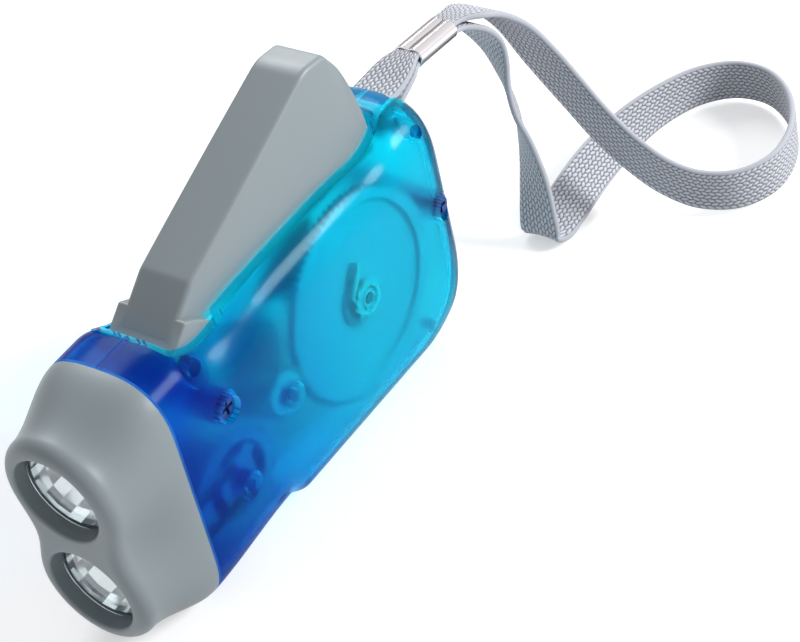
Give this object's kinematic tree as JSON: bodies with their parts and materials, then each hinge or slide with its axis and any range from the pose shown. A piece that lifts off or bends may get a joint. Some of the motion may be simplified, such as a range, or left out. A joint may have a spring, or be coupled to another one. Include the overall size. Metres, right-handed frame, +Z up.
{
  "type": "squeeze dynamo flashlight",
  "caption": "Hand-press dynamo torch with a sprung squeeze lever, gear train and flywheel generator in a translucent casing, a twin-lamp head and a braided wrist strap",
  "frame": {"origin": "under the middle of the torch, on the plane its belly rests on", "axes": "+X towards the lamps, +Y to the torch's left side, +Z up towards the lever"},
  "size_m": [0.1758, 0.0623, 0.0709],
  "materials": {
    "casing": "translucent moulded polycarbonate",
    "grey_moulding": "fine matt grey ABS",
    "lens": "clear moulded",
    "mirror": "vacuum metallised",
    "board": "fibreglass board",
    "component": "can",
    "black_nylon": "moulded nylon",
    "white_nylon": "moulded acetal",
    "steel": "plated steel",
    "magnet": "sintered ferrite",
    "copper": "enamelled copper",
    "ferrule": "bright plated",
    "webbing": "braided polyester"
  },
  "bodies": {
    "housing": {"left_shell": "casing", "right_shell": "casing", "head_cover": "grey_moulding", "upper_lens": "lens", "lower_lens": "lens", "upper_reflector": "mirror", "lower_reflector": "mirror", "upper_led": "lens", "lower_led": "lens", "circuit_board": "board", "capacitor": "component", "rectifier": "black_nylon", "lever_pivot_pin": "steel", "drive_axle": "steel", "transfer_axle": "steel", "inner_claw_plate": "steel", "outer_claw_plate": "steel", "stator_core": "steel", "winding_bobbin": "black_nylon", "coil_winding": "copper", "upper_coil_contact": "copper", "lower_coil_contact": "copper", "front_case_screw": "steel", "rear_case_screw": "steel", "strap_pin": "steel", "strap_tail": "webbing", "strap_ferrule": "ferrule", "strap_loop": "webbing"},
    "lever": {"lever": "grey_moulding", "sector_gear": "white_nylon", "lever_spring": "steel"},
    "drive_gear": {"drive_pinion": "black_nylon", "drive_wheel": "white_nylon", "ratchet_wheel": "black_nylon", "ratchet_pawl": "steel"},
    "transfer_gear": {"transfer_gear": "white_nylon"},
    "rotor": {"rotor_axle": "steel", "rotor_pinion": "black_nylon", "flywheel_cup": "steel", "ring_magnet": "magnet"}
  },
  "joints": [
    {"name": "lever_squeeze", "type": "hinge", "parent": "housing", "child": "lever", "pos_m": [0.022, 0, 0.0449], "axis": [0, -1, 0], "range_deg": [0, 20], "stiffness_Nm_per_rad": 0.6, "springref_deg": -28.65, "deforming": ["lever_spring"]},
    {"name": "drive_spin", "type": "hinge", "parent": "housing", "child": "drive_gear", "pos_m": [-0.02048, 0, 0.02599], "axis": [0, -1, 0], "range_deg": [-246, 0]},
    {"name": "transfer_spin", "type": "hinge", "parent": "housing", "child": "transfer_gear", "pos_m": [0.00389, 0, 0.02347], "axis": [0, -1, 0], "range_deg": [0, 1093]},
    {"name": "rotor_spin", "type": "hinge", "parent": "housing", "child": "rotor", "pos_m": [0.0193, 0, 0.01629], "axis": [0, -1, 0], "range_deg": [-2622, 0]}
  ],
  "couplings": [
    {"joint": "drive_spin", "follows": "lever_squeeze", "ratio": -12.286},
    {"joint": "transfer_spin", "follows": "lever_squeeze", "ratio": 54.603},
    {"joint": "rotor_spin", "follows": "lever_squeeze", "ratio": -131.05}
  ]
}
